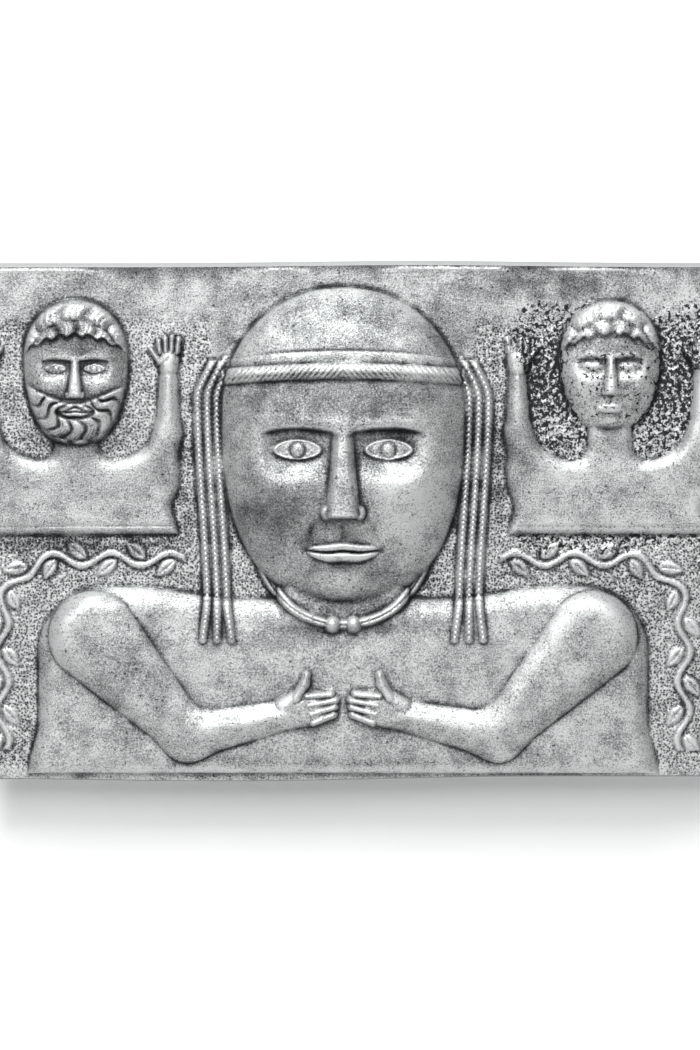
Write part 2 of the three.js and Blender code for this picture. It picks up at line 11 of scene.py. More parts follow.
import bpy
import numpy as np
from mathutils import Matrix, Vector


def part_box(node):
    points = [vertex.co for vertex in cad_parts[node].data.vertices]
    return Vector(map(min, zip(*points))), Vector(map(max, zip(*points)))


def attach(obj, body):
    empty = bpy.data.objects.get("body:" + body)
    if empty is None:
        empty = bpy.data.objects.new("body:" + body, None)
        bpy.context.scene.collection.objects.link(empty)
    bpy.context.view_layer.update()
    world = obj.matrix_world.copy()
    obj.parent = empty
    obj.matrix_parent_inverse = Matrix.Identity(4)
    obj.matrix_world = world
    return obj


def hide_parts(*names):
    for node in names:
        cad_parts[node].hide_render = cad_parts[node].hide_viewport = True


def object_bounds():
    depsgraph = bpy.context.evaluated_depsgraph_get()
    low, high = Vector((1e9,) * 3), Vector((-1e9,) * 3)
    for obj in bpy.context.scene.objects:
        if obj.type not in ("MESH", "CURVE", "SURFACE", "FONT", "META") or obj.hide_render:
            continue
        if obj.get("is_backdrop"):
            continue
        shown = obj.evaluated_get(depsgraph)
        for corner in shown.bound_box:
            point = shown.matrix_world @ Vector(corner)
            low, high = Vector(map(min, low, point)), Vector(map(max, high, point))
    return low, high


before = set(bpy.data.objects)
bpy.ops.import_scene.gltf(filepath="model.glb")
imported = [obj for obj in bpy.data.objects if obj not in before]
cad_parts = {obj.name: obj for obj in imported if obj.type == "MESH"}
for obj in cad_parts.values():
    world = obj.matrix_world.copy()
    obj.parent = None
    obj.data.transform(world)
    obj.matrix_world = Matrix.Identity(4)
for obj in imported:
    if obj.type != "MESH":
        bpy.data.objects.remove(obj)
CAD_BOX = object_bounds()
LOW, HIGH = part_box("plaque")

# ---------------------------------------------------------------- driving dimensions

UNIT = (HIGH.x - LOW.x) / 310  # metres to a drawing millimetre
PLATE_HEIGHT = 210
TOP_HALF = 155
BOTTOM_HALF = 148
SHEET = 2
TOP_BEVEL = 1.7
EDGE_BEVEL = 0.6
BEVEL_LEAVES = 0.7
ORIGIN_V = PLATE_HEIGHT / 2 - 5  # where the frame's origin lies on the drawing

# The grid has tiles of cells, three across and two up.
TILE = 256
COLUMNS = 3 * TILE
ROWS = 2 * TILE
CELL = 2 * BOTTOM_HALF / COLUMNS * 1.05  # about the width and height of a cell, in millimetres
FRONT_TOLERANCE = 0.1  # the most that thinning may move the front, in millimetres
TARNISH_AND_SHADE_TOLERANCE = 0.3  # and the most that it may change the tarnish with its painted shade
BACK_TOLERANCE = 0.4
DOT_PITCH = 1.3  # between the dirt-filled dots of the punched ground

# Places below are (x, v) pairs, and rises stand above the ground.
TORSO = Sizes(half=124, middle=-91.25, half_height=65.25, bottom=-102.5, corner=27, rise=5, roll=8,
              belly=1.4, dip=5, dip_from=42, flare=0.035, flare_from=-80)
NECK = Sizes(half=27, top=-8, bottom=-46, rise=6.4, roll=7)
ARM = Sizes(shoulder=(101, -46), elbow=(63, -86.5), wrist=(24, -78), shoulder_radius=18.5,
            elbow_radius=9.6, wrist_radius=6.3, elbow_fill=6, rise=4.4, roll=9)
HAND = Sizes(knuckles=(13.5, -75.5), palm_radius=7, palm_roll=4, rise=3.2, fingers=4,
             finger_length=11, finger_radius=1.8, finger_pitch=3.7, finger_fan=0.1, finger_rise=3.7,
             ball_root=(24, -75), ball_end=(18.5, -70), ball_rise=3.6, thumb_root=(19, -71),
             thumb_joint=(15.6, -65), thumb_tip=(14.8, -61.5), thumb_rise=3.9, mark=0.25)
RING = Sizes(half=35, centre=-6, radius=2.3, rise=2.8, ball=3.8, ball_rise=4.4, ball_out=4.3)
PLAIT = Sizes(pitch=3.9, middle=55, top=66, bottom=-49, radius=1.95, rise=2.9, dip=0.75, twist=2.1,
              lean=4, bend=7, flare=2, seat=5.2)
BAND = Sizes(middle=62, sag=3, sag_half=50, half=51.5, radius=3.4, rise=2.8, dip=0.65, twist=1.9)
BUST = Sizes(middle=108, half=36, half_height=20, centre=5, bottom=-5, corner=7, foot=5, rise=3, roll=4,
             throat=9, throat_top=42, shoulder=(32, 18), elbow=(37, 36), wrist=(37.5, 59),
             shoulder_radius=8, elbow_radius=5.2, wrist_radius=3.9, elbow_fill=4, armpit_fill=14,
             throat_fill=8, arm_rise=1.4)
PALM = Sizes(low=(0, 62), high=(0, 66), low_radius=3.9, high_radius=4.5, rise=4.2, finger_root=69,
             finger_tip=75.5, root_pitch=2.3, tip_pitch=2.7, finger_radius=1.2, thumb_root=(-3.5, 65),
             thumb_tip=(-7, 70), thumb_radius=1.5, thumb_tip_radius=1.2, thumb_roll=1.4)
SCROLL = Sizes(start=64, level=-15, turn=24, outer=138.5, end=-93, period=24, wave=2.6, stem=1.3,
               reach=10, rise=1.05, leaf_from=0.35, leaf_along=7.9, leaf_out=6.5, leaf_half=3)
SCROLL.bend = SCROLL.turn * math.pi / 2
SCROLL.straight = SCROLL.outer - SCROLL.turn - SCROLL.start
SCROLL.length = SCROLL.straight + SCROLL.bend + SCROLL.level - SCROLL.turn - SCROLL.end

HEADS = (
    dict(x=0, chin=-35.5, height=131, rise=17.5, hair="cap", beard=False),
    dict(x=-108, chin=34.5, height=56, rise=8.5, hair="locks", beard=True),
    dict(x=108, chin=36.5, height=54, rise=8.5, hair="locks", beard=False),
)

# Marks that tools and time left, as heights.
OUTLINE_DEPTH = 0.24  # the line chased round every figure
HALO_RISE = 0.12  # the ground pushed up beyond that line
BURR_RISE = 0.3
SEAM_DEPTH = 0.15
UNEVENNESS = 0.35
EATEN_DEPTH = 0.3
PIT_DEPTH = 0.24  # of a deep mark of the punch
PIT_SHARE = 0.45  # of the marks that are deep

# The stage and the camera, in metres but for the height of the view.
WALL_GAP = 0.022
FLOOR_BELOW = 0.42
VIEW_HEIGHT = 426.5  # millimetres of the drawing
VIEW_CENTRE = (2.8, -1.2)  # where the camera looks, as x and v
CAMERA_AWAY = 1.7
CAMERA_RAISED = math.radians(4)

# ---------------------------------------------------------------- small functions on arrays


def clamp(t):
    return np.clip(t, 0, 1)


def smooth(t):
    t = clamp(t)
    return t * t * (3 - 2 * t)


def mix(a, b, t):
    return a + (b - a) * t


def bell(d, width):
    return np.exp(-((d / width) ** 2))


def roll_over(t, roundness=0.62):
    """Rises from 0 at t = 0 to 1 at t = 1, steeply at its foot."""
    return np.sin(clamp(t) * np.pi / 2) ** roundness


def half_round(d, radius):
    return roll_over(1 - np.abs(d) / radius)


def smooth_max(a, b, width):
    fill = np.maximum(width - np.abs(a - b), 0) / width
    return np.maximum(a, b) + fill * fill * width / 4


def blend_rises(a, b, width):
    """The higher of two rises, with the crease between them filled where both stand clear of the ground."""
    fill = np.minimum(np.minimum(width, a), b)
    return np.where(fill > 0, smooth_max(a, b, np.maximum(fill, 1e-6)), np.maximum(a, b))


def inside_limb(x, v, a, b, ra, rb):
    """How far a point lies inside a limb that tapers from one round end to the other."""
    dx, dv = b[0] - a[0], b[1] - a[1]
    along = clamp(((x - a[0]) * dx + (v - a[1]) * dv) / (dx * dx + dv * dv))
    return mix(ra, rb, along) - np.hypot(x - a[0] - along * dx, v - a[1] - along * dv)


def inside_box(x, v, half_x, half_v, corner):
    qx = np.abs(x) - half_x + corner
    qv = np.abs(v) - half_v + corner
    outside = np.hypot(np.maximum(qx, 0), np.maximum(qv, 0))
    return corner - outside - np.minimum(np.maximum(qx, qv), 0)


def groove(d, width, depth):
    """A chased line where d is 0."""
    return -depth * bell(d, width)


def blur(field, radius):
    """A Gaussian-like blur from three passes of a running mean, with the radius in cells."""
    for axis in (0, 1) * 3:
        padded = np.concatenate([np.repeat(field.take([0], axis), radius + 1, axis), field,
                                 np.repeat(field.take([-1], axis), radius, axis)], axis)
        total = np.cumsum(padded, axis)
        size = field.shape[axis]
        last = np.arange(2 * radius + 1, 2 * radius + 1 + size)
        field = (total.take(last, axis) - total.take(last - 2 * radius - 1, axis)) / (2 * radius + 1)
    return field


def value_noise(x, v, size, seed):
    """Smooth noise from 0 to 1 with bumps about size millimetres across."""
    table = np.random.default_rng(seed).random((128, 128))
    px, pv = x / size + 40, v / size + 40
    ix, iv = np.floor(px).astype(int), np.floor(pv).astype(int)
    fx, fv = smooth(px - ix), smooth(pv - iv)
    corner = lambda i, j: table[(iv + j) % 128, (ix + i) % 128]
    return mix(mix(corner(0, 0), corner(1, 0), fx), mix(corner(0, 1), corner(1, 1), fx), fv)


def layered_noise(x, v, size, seed):
    """Noise in three sizes, each half of the last, turned against each other."""
    total = 0
    for i, weight in enumerate((0.55, 0.3, 0.15)):
        turn = 0.6 + i
        rx = x * math.cos(turn) - v * math.sin(turn)
        rv = x * math.sin(turn) + v * math.cos(turn)
        total = total + weight * value_noise(rx, rv, size / 2 ** i, seed + i)
    return total


# ---------------------------------------------------------------- the large figure's body


def torso(x, v):
    above_foot = v - TORSO.bottom
    dip = TORSO.dip * (1 - smooth((np.abs(x) - TORSO.dip_from) / TORSO.dip_from)) * smooth(above_foot / 60)
    flare = 1 + TORSO.flare * smooth((TORSO.flare_from - v) / 22)
    box = inside_box(x / flare, v + dip - TORSO.middle, TORSO.half, TORSO.half_height, TORSO.corner)
    inside = np.minimum(box, above_foot * 2.5)
    belly = TORSO.belly * clamp(1 - (x / TORSO.half) ** 2) * smooth(inside / 25)
    return TORSO.rise * roll_over(inside / TORSO.roll) + belly


def neck(x, v):
    inside = np.minimum(np.minimum(NECK.half - np.abs(x), NECK.top - v), v - NECK.bottom)
    return NECK.rise * roll_over(inside / NECK.roll)


def arms(x, v):
    side = np.abs(x)
    upper = inside_limb(side, v, ARM.shoulder, ARM.elbow, ARM.shoulder_radius, ARM.elbow_radius)
    lower = inside_limb(side, v, ARM.elbow, ARM.wrist, ARM.elbow_radius, ARM.wrist_radius)
    inside = smooth_max(upper, lower, ARM.elbow_fill)
    return ARM.rise * roll_over(inside / ARM.roll)


def with_finger(rise, side, v, place, heading):
    """The rise with one finger laid on it, chased at its joint and round its nail."""
    across = place * HAND.finger_pitch
    root_x = HAND.knuckles[0] + across * math.sin(heading)
    root_v = HAND.knuckles[1] - across * math.cos(heading)
    angle = heading + place * HAND.finger_fan
    length = HAND.finger_length - abs(place - 0.5)
    tip_x = root_x + length * math.cos(angle)
    tip_v = root_v + length * math.sin(angle)
    inside = inside_limb(side, v, (root_x, root_v), (tip_x, tip_v), HAND.finger_radius, HAND.finger_radius)
    rise = np.maximum(rise, HAND.finger_rise * roll_over(inside / HAND.finger_radius))
    joint = np.hypot(side - mix(root_x, tip_x, 0.45), v - mix(root_v, tip_v, 0.45))
    rise = rise + np.where(inside > 0, groove(joint, 0.5, HAND.mark), 0)
    nail = np.hypot(side - mix(root_x, tip_x, 0.97), (v - mix(root_v, tip_v, 0.97)) * 1.4)
    return rise + np.where(inside > 0, groove(nail - 1.1, 0.3, HAND.mark), 0)


def with_thumb(rise, side, v):
    """The rise with the thumb and its ball laid on it."""
    ball = inside_limb(side, v, HAND.ball_root, HAND.ball_end, 4.6, 3.2)
    near = inside_limb(side, v, HAND.thumb_root, HAND.thumb_joint, 2.8, 2.3)
    far = inside_limb(side, v, HAND.thumb_joint, HAND.thumb_tip, 2.3, 1.9)
    thumb = smooth_max(near, far, 1)
    nail = np.hypot(side - HAND.thumb_tip[0], (v - HAND.thumb_tip[1] + 0.3) * 1.2)
    rise = np.maximum(rise, HAND.ball_rise * roll_over(ball / 4))
    rise = np.maximum(rise, HAND.thumb_rise * roll_over(thumb / 2.3))
    return rise + np.where(thumb > 0, groove(nail - 1.2, 0.3, HAND.mark), 0)


def hands(x, v):
    side = np.abs(x)
    heading = math.atan2(HAND.knuckles[1] - ARM.wrist[1], HAND.knuckles[0] - ARM.wrist[0])
    palm = inside_limb(side, v, ARM.wrist, HAND.knuckles, ARM.wrist_radius, HAND.palm_radius)
    rise = HAND.rise * roll_over(palm / HAND.palm_roll)
    for i in range(HAND.fingers):
        rise = with_finger(rise, side, v, i - (HAND.fingers - 1) / 2, heading)
    return with_thumb(rise, side, v)


def ring(x, v):
    """The neck ring: an open hoop of two wires that ends in two balls."""
    level = v - RING.centre
    off = (np.hypot(x / RING.half, level / RING.half) - 1) * RING.half
    between_wires = groove(off, 0.45, 0.9) * (np.abs(off) < 1.6)
    hoop = np.where(level < 0, RING.rise * half_round(off, RING.radius) + between_wires, 0)
    ball = np.hypot(np.abs(x) - RING.ball_out, level + RING.half)
    return np.maximum(np.maximum(hoop, 0), RING.ball_rise * half_round(ball, RING.ball))


def plait_places(x, v):
    """For each strand of both plaits, how far a point lies from its middle line."""
    lean = PLAIT.lean * smooth((50 - v) / 90) + PLAIT.bend * smooth((v - 50) / 20)
    pitch = PLAIT.pitch + PLAIT.flare * smooth((-30 - v) / 20)
    for place in (-1, 0, 1):
        yield np.abs(x) - (PLAIT.middle + place * pitch - lean)


def plaits(x, v):
    ends = roll_over((v - PLAIT.bottom) / 1.5) * roll_over((PLAIT.top - v) / 4)
    rise = 0
    for off in plait_places(x, v):
        crossing = 0.5 - 0.5 * np.cos(2 * np.pi * (v + np.abs(off) * 0.9) / PLAIT.twist)
        strand = (PLAIT.rise - PLAIT.dip * crossing) * half_round(off, PLAIT.radius)
        rise = np.maximum(rise, strand * ends)
    return np.where((v > PLAIT.top) | (v < PLAIT.bottom), 0, rise)


# ---------------------------------------------------------------- heads

# The canon of the faces, in head heights measured up from the chin.
EYES, BROW, NOSE_BASE, MOUTH = 0.5, 0.575, 0.285, 0.19
WIDEST, HALF_WIDTH = 0.59, 0.382
EYE_OUT, EYE_HALF, EYE_TALL = 0.14, 0.076, 0.034


def egg_radius(u, w, beard):
    level = w - WIDEST
    upper = (np.abs(u / HALF_WIDTH) ** 2.1 + np.abs(level / (1 - WIDEST)) ** 2.1) ** (1 / 2.1)
    lower_half = WIDEST + (0.08 if beard else 0)
    lower = (np.abs(u / HALF_WIDTH) ** 2.3 + np.abs(level / lower_half) ** 2.3) ** (1 / 2.3)
    return np.where(level > 0, upper, lower)


def eye_carving(side, w):
    """An eyeball with its pupil between two raised lids."""
    off = np.abs(side - EYE_OUT) / EYE_HALF
    tall = np.where(w > EYES, EYE_TALL, EYE_TALL * 0.85)
    almond = 1 - off ** 1.7 - ((w - EYES) / tall) ** 2
    ball = 0.016 * roll_over(almond / 0.7)
    lids = 0.009 * bell(almond - 0.12, 0.13)
    pupil = 0.005 * roll_over(1.6 * (1 - np.hypot(side - EYE_OUT, w - EYES) / 0.02))
    rim = -0.004 * bell(np.hypot(side - EYE_OUT, w - EYES) - 0.024, 0.004) * (almond > 0)
    return np.maximum(ball + lids, 0) + pupil + rim


def mouth_carving(side, w):
    """Two closed lips that taper to the corners, with the furrow above them."""
    taper = np.sqrt(clamp(1 - (side / 0.112) ** 2)) + 1e-3
    level = w - MOUTH + 0.004 * smooth(side / 0.05) - 0.004 * smooth((side - 0.05) / 0.06)
    upper = 0.018 * taper * roll_over(1.4 * (1 - np.abs(level - 0.013 * taper) / (0.015 * taper)))
    lower = 0.022 * taper * roll_over(1.4 * (1 - np.abs(level + 0.017 * taper) / (0.018 * taper)))
    parting = -0.012 * bell(level, 0.004) * smooth((0.12 - side) / 0.02)
    ends = -0.007 * bell(np.hypot(side - 0.118, w - MOUTH), 0.014)
    furrow = -0.006 * bell(side, 0.012) * smooth((w - MOUTH - 0.03) / 0.01) * smooth((NOSE_BASE - w) / 0.02)
    return np.maximum(upper, lower) + parting + ends + furrow


def features(u, w):
    side = np.abs(u)
    brow_at = BROW - 1.1 * (side - EYE_OUT) ** 2
    socket = smooth((brow_at - w) / 0.016) * smooth((w - 0.39) / 0.11) * smooth((0.27 - side) / 0.08)
    bare = eye_carving(side, w) - 0.032 * socket
    bare = bare + 0.005 * bell(w - brow_at - 0.016, 0.015) * smooth((0.25 - side) / 0.04)
    cheek = 0.015 * bell(np.hypot((side - 0.2) / 0.1, (w - 0.36) / 0.09), 1)
    fold = -0.006 * bell(side - 0.085 - 0.35 * (NOSE_BASE - w), 0.014) * smooth((0.3 - w) / 0.04)
    cheek = cheek + fold * smooth((w - 0.2) / 0.05)
    down = clamp((BROW - w) / (BROW - NOSE_BASE))
    nose_half = mix(0.034, 0.06, down ** 1.4)
    crest = 1 - 0.22 * clamp(side / nose_half) ** 2
    nose_rise = mix(0.008, 0.055, down) * crest * smooth((w - NOSE_BASE) / 0.016)
    wing = np.hypot((side - 0.052) / 0.019, (w - NOSE_BASE - 0.024) / 0.026)
    nose_edge = roll_over((nose_half - side) / 0.03) * smooth((0.63 - w) / 0.05)
    with_nose = mix(bare, nose_rise, nose_edge)
    with_nose = mix(with_nose, np.maximum(with_nose, 0.024), roll_over(1.5 * (1 - wing)))
    chin = 0.022 * smooth(1 - np.hypot(u / 0.13, (w - 0.065) / 0.08))
    return with_nose + cheek + mouth_carving(side, w) + chin


def tufts(u, w, middle, waves, row, bend):
    """Rows of wavy tufts that fan out from (0, middle): 1 along their backs, 0 between them."""
    away = np.hypot(u, w - middle)
    angle = np.arctan2(u, w - middle) + bend * np.sin(away * 34 + 1)
    across = np.floor(away / row)
    ridge = np.abs(np.cos(waves * angle + across * np.pi / 2)) ** 0.6
    tips = roll_over((away / row - across) * 4) * roll_over((1 - away / row + across) * 2.2)
    hairs = 0.12 * np.cos(waves * 8 * angle)
    return (ridge + hairs * ridge) * (0.35 + 0.65 * tips)


def locks(u, w, beard):
    """Tufts combed from the crown to the brow, and on a beard from the mouth down, with a moustache."""
    fringe = 0.74 - 0.9 * u * u + 0.012 * np.cos(u * 60)
    hair = smooth((w - fringe) / 0.016)
    rise = hair * (0.016 + 0.032 * tufts(u, w, 0.5, 6.5, 0.175, 0.05))
    if beard:
        jaw = smooth((0.24 + 0.4 * np.abs(u) - w) / 0.026)
        jaw = jaw * smooth((np.hypot(u / 0.125, (w - 0.19) / 0.05) - 1) / 0.25)
        rise = np.maximum(rise, jaw * (0.014 + 0.038 * tufts(u, -w, -0.36, 9, 0.38, 0.09)))
        side = np.abs(u)
        moustache = 1 - np.hypot((side - 0.062) / 0.075, (w - 0.242 + 0.3 * side) / 0.02)
        rise = np.maximum(rise, 0.026 * roll_over(2 * moustache))
    return rise


def head(x, v, one):
    u = (x - one["x"]) / one["height"]
    w = (v - one["chin"]) / one["height"]
    egg = egg_radius(u, w, one["beard"])
    shell = one["rise"] * np.maximum(0, 1 - egg ** 2.9) ** 0.58
    inner = smooth((1 - egg) / 0.1)
    carved = features(u, w)
    if one["hair"] == "locks":
        carved = carved + locks(u, w, one["beard"])
    deepening = one["rise"] / (0.134 * one["height"])
    return np.where(egg < 1, np.maximum(0, shell + carved * one["height"] * deepening * inner), 0), egg


def headband(x, v):
    """A twisted rope along the cap's edge, with a chased line above it."""
    bow = (x / BAND.sag_half) ** 2
    off = v - BAND.middle + BAND.sag * bow
    ends = roll_over((BAND.half - np.abs(x)) / 3)
    twist = 0.5 + 0.5 * np.cos(2 * np.pi * (np.abs(x) * 0.8 + off * 0.75) / BAND.twist)
    rope = half_round(off, BAND.radius) * (BAND.rise - BAND.dip * twist)
    line = groove(off - 8.2 + 1.2 * bow, 0.5, 0.5) * (np.abs(x) < 47)
    fillet = 0.5 * smooth((8.4 - off) / 0.8) * smooth((off + 1) / 1) * (np.abs(x) < 49)
    return (rope + fillet) * ends + line


# ---------------------------------------------------------------- small busts and scroll


def bust_body(x, v):
    """The rise of both small busts without their heads, and how far inside them a point lies."""
    side = np.abs(np.abs(x) - BUST.middle)
    above_foot = v - BUST.bottom
    waist = BUST.half + BUST.foot * smooth((10 - v) / 14)
    box = inside_box(side, v - BUST.centre, waist, BUST.half_height, BUST.corner)
    upper = inside_limb(side, v, BUST.shoulder, BUST.elbow, BUST.shoulder_radius, BUST.elbow_radius)
    lower = inside_limb(side, v, BUST.elbow, BUST.wrist, BUST.elbow_radius, BUST.wrist_radius)
    arm = smooth_max(upper, lower, BUST.elbow_fill)
    throat = np.minimum(np.minimum(BUST.throat - side, BUST.throat_top - v), above_foot)
    inside = smooth_max(smooth_max(box, arm, BUST.armpit_fill), throat, BUST.throat_fill)
    inside = np.minimum(inside, above_foot)
    shape = BUST.rise * roll_over(inside / BUST.roll)
    shape = shape + BUST.arm_rise * roll_over(arm / 6) * smooth((v - 16) / 18)
    hem = groove(v + 1.4, 0.4, 0.35) * (inside > 2)
    return np.maximum(shape + hem, bust_hand(side - BUST.wrist[0], v)), inside


def bust_hand(x, v):
    """An open hand seen from its palm, with the thumb towards the head."""
    palm = inside_limb(x, v, PALM.low, PALM.high, PALM.low_radius, PALM.high_radius)
    rise = PALM.rise * roll_over(palm / 3)
    rise = rise + groove(np.hypot(x + 4.5, v - 70) - 5.6, 0.35, 0.4) * (rise > 2)
    for place in (-1.5, -0.5, 0.5, 1.5):
        root = (place * PALM.root_pitch, PALM.finger_root)
        tip = (place * PALM.tip_pitch, PALM.finger_tip - abs(place - 0.3))
        finger = inside_limb(x, v, root, tip, PALM.finger_radius, PALM.finger_radius - 0.05)
        rise = np.maximum(rise, PALM.rise * roll_over(finger / PALM.finger_radius))
    thumb = inside_limb(x, v, PALM.thumb_root, PALM.thumb_tip, PALM.thumb_radius, PALM.thumb_tip_radius)
    return np.maximum(rise, PALM.rise * roll_over(thumb / PALM.thumb_roll))


def beside_scroll(x, v):
    """Where a point lies beside the scroll's middle line: out from the shoulder, and along it."""
    side = np.abs(x)
    bend_x, bend_v = SCROLL.outer - SCROLL.turn, SCROLL.level - SCROLL.turn
    angle = np.arctan2(side - bend_x, v - bend_v)
    out = np.hypot(side - bend_x, v - bend_v) - SCROLL.turn
    along = SCROLL.straight + SCROLL.turn * angle
    straight, down = side < bend_x, v < bend_v
    out = np.where(straight, v - SCROLL.level, np.where(down, side - SCROLL.outer, out))
    along_down = SCROLL.straight + SCROLL.bend + bend_v - v
    along = np.where(straight, side - SCROLL.start, np.where(down, along_down, along))
    return out, along


def leaf(along, out, root, tip):
    """A pointed oval with a midrib, from root to tip."""
    da, do = tip[0] - root[0], tip[1] - root[1]
    length = np.hypot(da, do)
    t = ((along - root[0]) * da + (out - root[1]) * do) / length ** 2
    off = np.abs((along - root[0]) * do - (out - root[1]) * da) / length
    half = SCROLL.leaf_half * np.sin(np.pi * clamp(t) ** 0.8)
    body = roll_over(1.8 * (1 - off / np.maximum(half, 1e-3)))
    return np.where((t > 0) & (t < 1), body * (1 - 0.35 * bell(off, 0.35)), 0)


def scroll(x, v):
    """A wavy stem with one leaf to each bend, on alternate sides."""
    out, along = beside_scroll(x, v)
    phase = 2 * np.pi * along / SCROLL.period
    steepness = math.hypot(1, SCROLL.wave * 6.28 / SCROLL.period)
    stem = np.abs(out - SCROLL.wave * np.sin(phase)) / steepness
    rise = roll_over(1.6 * (1 - stem / SCROLL.stem))
    half = SCROLL.period / 2
    bend = np.floor(along / half)
    sign = np.where(bend % 2 == 1, 1, -1)
    root = ((bend + SCROLL.leaf_from) * half, 0.4 * sign)
    tip = (root[0] + SCROLL.leaf_along, root[1] + SCROLL.leaf_out * sign)
    rise = np.maximum(rise, leaf(along, out, root, tip))
    rise = np.maximum(rise, leaf(along, out, (root[0] - half, -root[1]), (tip[0] - half, -tip[1])))
    outside = (along < 0) | (along > SCROLL.length) | (np.abs(out) > SCROLL.reach)
    return SCROLL.rise * np.where(outside, 0, rise)


# ---------------------------------------------------------------- the whole relief


def relief(x, v):
    """The height above the ground, without the marks that tools and time left."""
    bare = blend_rises(torso(x, v), neck(x, v), 2) + np.maximum(arms(x, v), hands(x, v))
    figures = np.maximum(np.maximum(bare + ring(x, v), bust_body(x, v)[0]), scroll(x, v))
    crowned = figures
    for one in HEADS:
        crowned = blend_rises(crowned, head(x, v, one)[0], 0.6)
    return np.maximum(crowned + headband(x, v), plaits(x, v) + np.minimum(figures, PLAIT.seat))


def dilate(mask, steps):
    """The mask grown by a number of cells on every side."""
    for _ in range(steps):
        grown = mask.copy()
        grown[1:] |= mask[:-1]
        grown[:-1] |= mask[1:]
        grown[:, 1:] |= mask[:, :-1]
        grown[:, :-1] |= mask[:, 1:]
        mask = grown
    return mask


def corroded_share(x, v):
    """How badly the silver is eaten: an area at the upper right, and less on the small bust in it."""
    wander = 16 * (layered_noise(x, v, 22, 11) - 0.5)
    across = smooth((x - 60 + wander) / 12)
    up = smooth((v + 18 + 0.5 * wander) / 7) * smooth((99 - v - wander) / 14)
    on_body = smooth(bust_body(x, v)[1] / 1.5) * (v > -5)
    on_head = smooth((1 - head(x, v, HEADS[2])[1]) / 0.1)
    hollow = smooth((30 - np.abs(v - 58)) / 24)
    return across * up * (0.8 + 0.12 * hollow) * (1 - np.maximum(0.62 * on_body, 0.24 * on_head))


def punched_share(x, v, ground):
    """Where the ground is punched all over: round the shoulders and between the figures."""
    lower = smooth((30 - v) / 8)
    beside = smooth((13 - np.abs(np.abs(x) - 64)) / 4) * smooth((88 - v) / 12)
    busts = smooth((46 - np.abs(np.abs(x) - 108)) / 5) * smooth((88 - v) / 10) * smooth((v - 20) / 4)
    return ground * np.maximum(np.maximum(lower, beside), busts * 0.9)


def settle_odd_points(field, seed_field):
    """Copies the even points of seed_field and fills the rest as the coarser triangles would."""
    out = field.copy()
    out[::2, ::2] = seed_field[::2, ::2]
    out[::2, 1::2] = (out[::2, :-2:2] + out[::2, 2::2]) / 2
    out[1::2, ::2] = (out[:-2:2, ::2] + out[2::2, ::2]) / 2
    rows, columns = np.indices((ROWS // 2, COLUMNS // 2))
    main = (out[:-2:2, :-2:2] + out[2::2, 2::2]) / 2
    other = (out[:-2:2, 2::2] + out[2::2, :-2:2]) / 2
    out[1::2, 1::2] = np.where(rows % 2 == columns % 2, main, other)
    return out


def off_bottom(v):
    """1 over the plate, and less along its bottom edge, where wear has softened every mark."""
    return mix(0.3, 1, smooth((v + 101.5) / 3))


def top_edge_marks(x):
    """The raised burr along the plate's top edge, and the seam between it and the bevel."""
    below_edge = (ROWS - np.arange(ROWS + 1.0))[:, None] * CELL
    burr = bell(below_edge - 1.3, 0.5) * smooth((value_noise(x, x * 0, 24, 81) - 0.35) / 0.3)
    return burr, bell(below_edge - 0.2, 0.45)


def worked_surface(x, v):
    """At every grid point: height, tarnish with painted shade and highlights from 0 for bright to 1 for
    black, corrosion and punching.
    """
    plain = relief(x, v)
    raised = plain > 0.12
    ground = blur((~dilate(raised, 1)).astype(float), 1)
    outline = blur((dilate(raised, 2) & ~raised).astype(float), 1) * off_bottom(v)
    halo = blur((dilate(raised, 7) & ~dilate(raised, 3)).astype(float), 1)
    burr, seam = top_edge_marks(x)
    height = plain - OUTLINE_DEPTH * outline + HALO_RISE * halo + BURR_RISE * burr - SEAM_DEPTH * seam
    height = height + UNEVENNESS * (layered_noise(x, v, 17, 3) - 0.5)

    rng = np.random.default_rng(5)
    punched = punched_share(x, v, ground) * off_bottom(v)
    corroded = corroded_share(x, v)
    pits = PIT_DEPTH * (rng.random(x.shape) < PIT_SHARE) + 0.1 * rng.random(x.shape)
    blotch = value_noise(x, v, 2.1, 21) * 0.65 + value_noise(x, v, 1.0, 22) * 0.35
    eaten = smooth((corroded * 0.6 - blotch) / 0.14)
    height = height - EATEN_DEPTH * eaten
    marked = np.maximum(punched, corroded) > 0.1
    height = np.where(marked, settle_odd_points(height, height - pits * punched), height)

    # the burr along the top edge is coloured lighter as a painted highlight; the ground beyond each figure's
    # line is lighter and the seam darker
    tarnish_and_shade = tarnish_and_shade_of(x, v, plain, height) - 0.13 * halo - 0.35 * burr + 0.4 * seam
    dots = settle_odd_points(tarnish_and_shade, tarnish_and_shade + punched * ((pits - 0.15) * 0.7 - 0.12))
    return height, clamp(np.where(marked, dots, tarnish_and_shade)), corroded, punched
